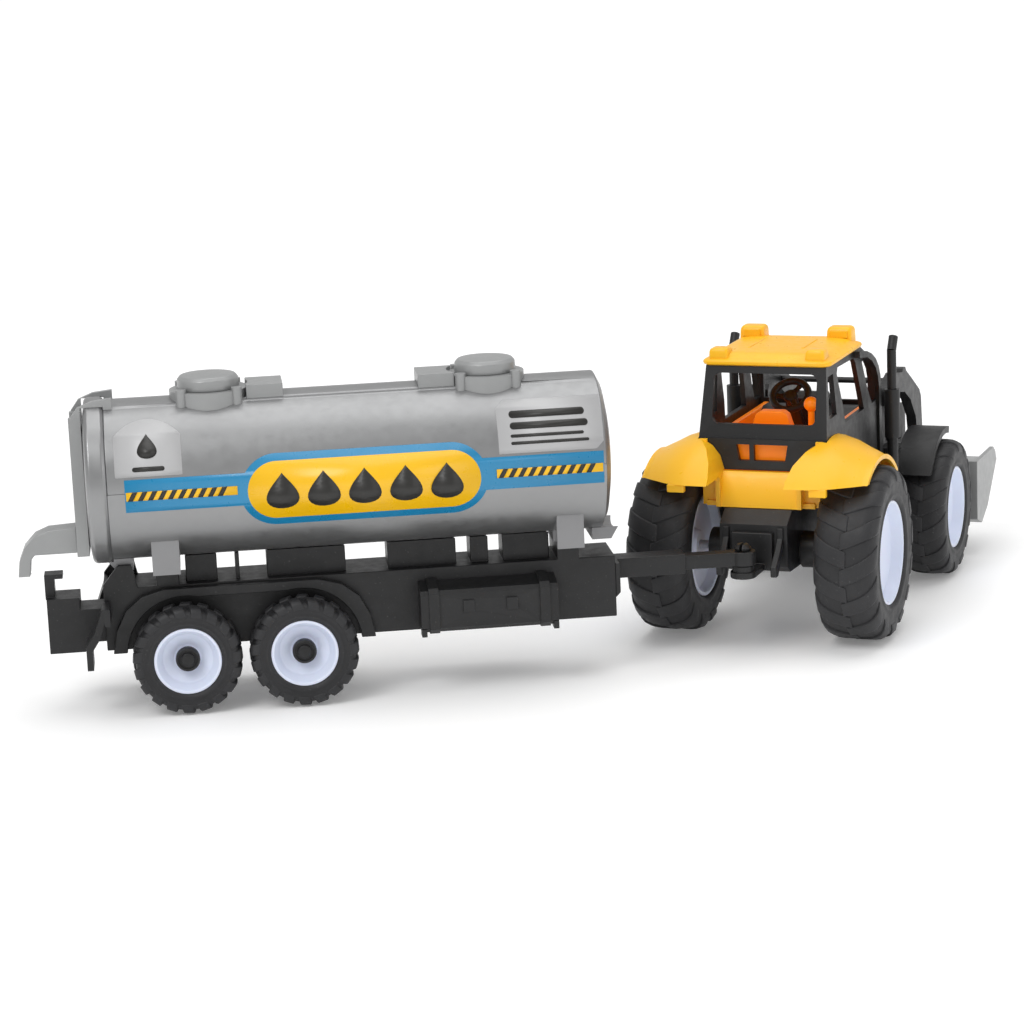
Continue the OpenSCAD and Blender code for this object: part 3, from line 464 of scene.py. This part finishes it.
def steering_wheel():
    """Thick-rimmed wheel with three dished spokes, on the leaning column."""
    bm = bmesh.new()
    big, small = 8.0, 1.65
    skin(bm, [[((big + small * math.cos(b)) * math.cos(a),
                (big + small * math.cos(b)) * math.sin(a),
                0.3 + small * math.sin(b)) for b in turns(14)] for a in turns(48)])
    hub = [(2.9, -1.0), (3.3, -0.4), (3.2, 0.6), (2.4, 1.2), (1.2, 1.4)]
    skin(bm, [[(r * math.cos(a), r * math.sin(a), h) for a in turns(24)] for r, h in hub],
         closed=False, caps=True)
    # Each spoke runs outward through (distance, half width, bottom, top).
    rows = [(1.8, 1.5, -0.7, 0.7), (4.2, 1.1, -0.7, 0.3), (6.0, 1.1, -0.6, 0.4),
            (7.6, 1.6, -0.4, 0.8)]
    for turn in (90, 210, 330):
        spin = Matrix.Rotation(math.radians(turn), 3, "Z")
        skin(bm, [[spin @ Vector((x, w, lo)), spin @ Vector((x, -w, lo)),
                   spin @ Vector((x, -w, hi)), spin @ Vector((x, w, hi))]
                  for x, w, lo, hi in rows], closed=False, caps=True)
    stub_r = 1.2
    skin(bm, [[(stub_r * math.cos(a), stub_r * math.sin(a), h) for a in turns(20)]
              for h in (-6, -0.8)], closed=False, caps=True)
    place = (TRACTOR @ Matrix.Translation(Vector(WHEEL_CENTRE) * MM)
             @ Matrix.Rotation(math.radians(-COLUMN_LEAN), 4, "Y"))
    piece("thick_steering_wheel", bm, "black_plastic", "steering",
          ["steering_wheel"], place, 0.25, 40)


roof_shell()
steering_wheel()

# ---------------------------------------------------------------- printed labels


def wrapped(bm, outline, side, lift, thick=0.1):
    """A flat outline of (x, height above the tank's axis) wrapped on the barrel as thin foil."""
    flat = bmesh.new()
    flat.faces.new([flat.verts.new((x, 0, h)) for x, h in outline])
    low, high = min(h for _, h in outline), max(h for _, h in outline)
    h = math.ceil(low)
    while h < high:
        bmesh.ops.bisect_plane(flat, geom=flat.verts[:] + flat.edges[:] + flat.faces[:],
                               plane_co=(0, 0, h), plane_no=(0, 0, 1), dist=0.001)
        h += 1.5
    flat.verts.index_update()
    faces = [[v.index for v in f.verts] for f in flat.faces]
    sides = [(a, b) for face in faces for a, b in zip(face, face[1:] + face[:1])]
    shared = set(sides)
    rim = [(a, b) for a, b in sides if (b, a) not in shared]
    layers = []
    for t in (lift, lift + thick):
        r = TANK_R + t
        layers.append([bm.verts.new((v.co.x, side * math.sqrt(r * r - v.co.z ** 2),
                                     TANK_Z + v.co.z)) for v in flat.verts])
    for face in faces:
        bm.faces.new([layers[1][i] for i in face])
        bm.faces.new([layers[0][i] for i in face[::-1]])
    for a, b in rim:
        bm.faces.new([layers[1][b], layers[1][a], layers[0][a], layers[0][b]])
    flat.free()


def both_flanks(name, outlines, lift, mat):
    """The same foil outlines on the left and the right of the barrel."""
    bm = bmesh.new()
    for side in (-1, 1):
        for outline in outlines:
            wrapped(bm, outline, side, lift)
    piece(name, bm, mat, "trailer", place=TRAILER)


def drop(x, h, size, n=28):
    """A plain water drop, point up."""
    return [(x + size * 0.62 * math.sin(a) * math.sin(a / 2) ** 1.4,
             h + size * 0.5 * math.cos(a)) for a in turns(n)]


def pill(x0, x1, h0, h1, n=8):
    """A bar with round ends."""
    r = (h1 - h0) / 2
    points = []
    for cx, start in ((x1 - r, -90), (x0 + r, 90)):
        for k in range(n + 1):
            a = math.radians(start + 180 * k / n)
            points.append((cx + r * math.cos(a), (h0 + h1) / 2 + r * math.sin(a)))
    return points


def slanted(x, h0, h1, width, lean):
    """A slanted stripe."""
    return [(x, h0), (x + width, h0), (x + width + lean, h1), (x + lean, h1)]


def labels():
    """Hazard bands, a row of drops on the pill, and plain marks on the two plates."""
    bands = [(-158.6, -114.0), (-9.0, 34.6)]
    h0, h1 = -3.0, 0.6
    both_flanks("hazard_band", [[(a, h0), (b, h0), (b, h1), (a, h1)] for a, b in bands],
                0.13, "yellow_foil")
    stripes = []
    stripe, pitch, margin = 2.0, 4.0, 0.6
    for a, b in bands:
        x = a + margin
        while x + 4.4 < b:
            stripes.append(slanted(x, h0, h1, stripe, stripe))
            x += pitch
    both_flanks("hazard_stripes", stripes, 0.24, "black_print")
    both_flanks("pill_drops", [drop(x, -2.6, 15) for x in (-96, -79.3, -62.7, -46, -29.3)],
                0.26, "black_print")
    bar_start = -2.5
    marks = []
    for h, length, half in ((21.4, 31, 1.3), (17.2, 32, 1.3), (13.4, 30, 0.6), (10.6, 32, 0.6)):
        marks.append(pill(bar_start, bar_start + length, h - half, h + half))
    marks += [pill(-155.5, -142.5, 8.6, 10.4), drop(-149.2, 18, 9)]
    both_flanks("plate_marks", marks, 0.13, "black_print")


labels()

# ---------------------------------------------------------------- stage

# The plain white ground and the clear yellow need the Standard view transform.
bpy.context.scene.view_settings.view_transform = "Standard"


def make_camera():
    """A camera at the fitted place and lens; its three directions are unit vectors."""
    right = Vector((0.99253, -0.11490, -0.04098))
    up = Vector((0.06456, 0.20973, 0.97563))
    back = -Vector((0.10351, 0.97098, -0.21558))
    data = bpy.data.cameras.new("camera")
    data.sensor_width = 36
    data.lens = 105.47
    data.clip_end = 50
    data.dof.use_dof = False
    cam = bpy.data.objects.new("camera", data)
    bpy.context.scene.collection.objects.link(cam)
    place = Vector((-129.91 - ORIGIN[0], -1218.67 - ORIGIN[1], 340.09)) * MM
    cam.matrix_world = Matrix.Translation(place) @ Matrix((right, up, back)).transposed().to_4x4()
    bpy.context.scene.camera = cam


def area_light(name, place, target, size, power):
    """A rectangular soft light in metres and watts."""
    data = bpy.data.lights.new(name, "AREA")
    data.shape = "RECTANGLE"
    data.size, data.size_y = size
    data.energy = power
    lamp = bpy.data.objects.new(name, data)
    lamp.location = place
    lamp.rotation_euler = (Vector(target) - Vector(place)).to_track_quat("-Z", "Y").to_euler()
    bpy.context.scene.collection.objects.link(lamp)


def make_stage():
    """A wide pale floor with a painted glow that brightens it away from the toy, a white sky and
    three soft lights.
    """
    mesh = bpy.data.meshes.new("floor")
    bm = bmesh.new()
    bmesh.ops.create_grid(bm, x_segments=8, y_segments=8, size=30)
    bm.to_mesh(mesh)
    floor = bpy.data.objects.new("floor", mesh)
    floor.location.z = -0.0004
    bpy.context.scene.collection.objects.link(floor)
    m = Mat("floor", (0.9, 0.9, 0.9), 0.7)
    m.color(m.ramp(m.noise(3, 2), [(0.3, (0.9, 0.9, 0.9)), (0.7, (0.92, 0.92, 0.92))]))
    # Painted glow: the floor emits light, weak near the toy and stronger away from it.
    far = m.node("ShaderNodeVectorMath", operation="LENGTH")
    m.link(m.coord, far.inputs[0])
    painted_floor_glow = m.span(far.outputs["Value"], 0.35, 1.6, 0.15, 0.5)
    m.link(painted_floor_glow, m.bsdf.inputs["Emission Color"])
    m.bsdf.inputs["Emission Strength"].default_value = 1.0
    mesh.materials.append(m.mat)
    world = bpy.data.worlds.new("studio")
    bpy.context.scene.world = world
    world.use_nodes = True
    sky = world.node_tree.nodes["Background"]
    sky.inputs["Color"].default_value = (1, 1, 1, 1)
    sky.inputs["Strength"].default_value = 0.58
    area_light("key", (-0.9, -1.1, 1.5), (0, 0, 0.05), (0.9, 0.9), 13)
    area_light("top", (0.2, 0.2, 1.7), (0, 0, 0), (1.6, 1.6), 13)
    area_light("fill", (1.5, -0.7, 0.7), (0, 0, 0.05), (1.0, 0.8), 3)


make_camera()
make_stage()
